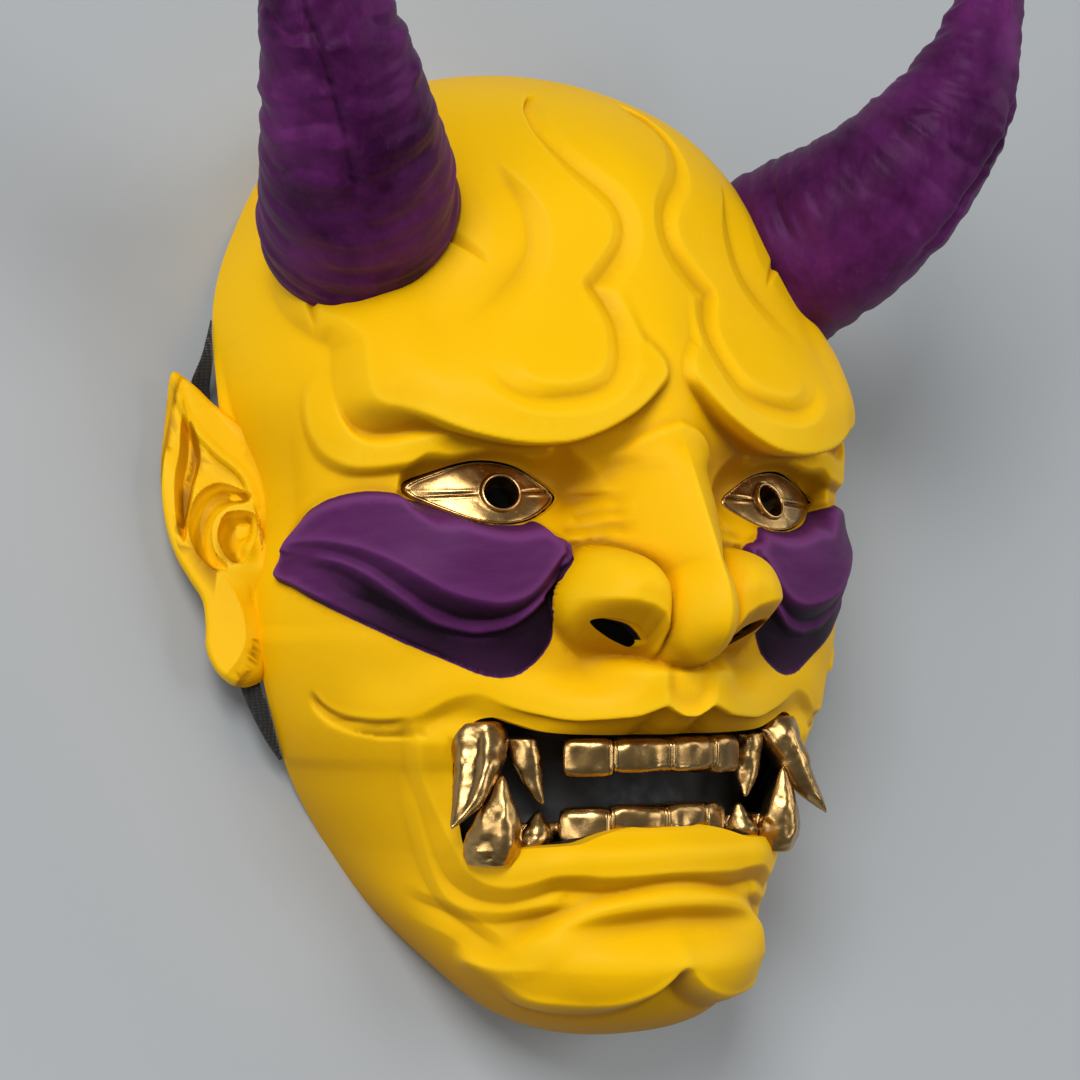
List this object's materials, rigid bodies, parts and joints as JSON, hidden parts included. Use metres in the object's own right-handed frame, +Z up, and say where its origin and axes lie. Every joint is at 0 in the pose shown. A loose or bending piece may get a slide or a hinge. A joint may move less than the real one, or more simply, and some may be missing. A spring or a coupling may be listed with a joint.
{
  "type": "oni mask",
  "caption": "Horned demon face mask in painted cast resin, with gilt eyes and fangs, lying face up on its rim.",
  "frame": {"origin": "floor level under the middle of the mask's bounding box, the mask lying face up on its rim", "axes": "+Y towards the crown and the horn tips, +Z up out of the face, +X towards the wearer's left ear, which is at the right of a viewer facing the mask"},
  "size_m": [0.2054, 0.2752, 0.1128],
  "materials": {
    "shell_paint": "satin yellow paint over cast resin, slightly gritty; purple on the two cheek plates",
    "horn_paint": "satin dark purple paint over cast resin",
    "gold_eyes": "gilt metallic paint, brushed",
    "gold_teeth": "gilt metallic paint, brushed",
    "black_panel": "matt black",
    "black_cloth": "stitched black cloth"
  },
  "bodies": {
    "root": {"mask_shell": "shell_paint", "horn_left": "horn_paint", "horn_right": "horn_paint", "eye_left": "gold_eyes", "eye_right": "gold_eyes", "upper_incisors": "gold_teeth", "upper_small_fang_left": "gold_teeth", "upper_small_fang_right": "gold_teeth", "upper_large_fang_left": "gold_teeth", "upper_large_fang_right": "gold_teeth", "lower_teeth": "gold_teeth", "mouth_backing": "black_panel", "side_band_left": "black_cloth", "side_band_right": "black_cloth"}
  },
  "joints": []
}
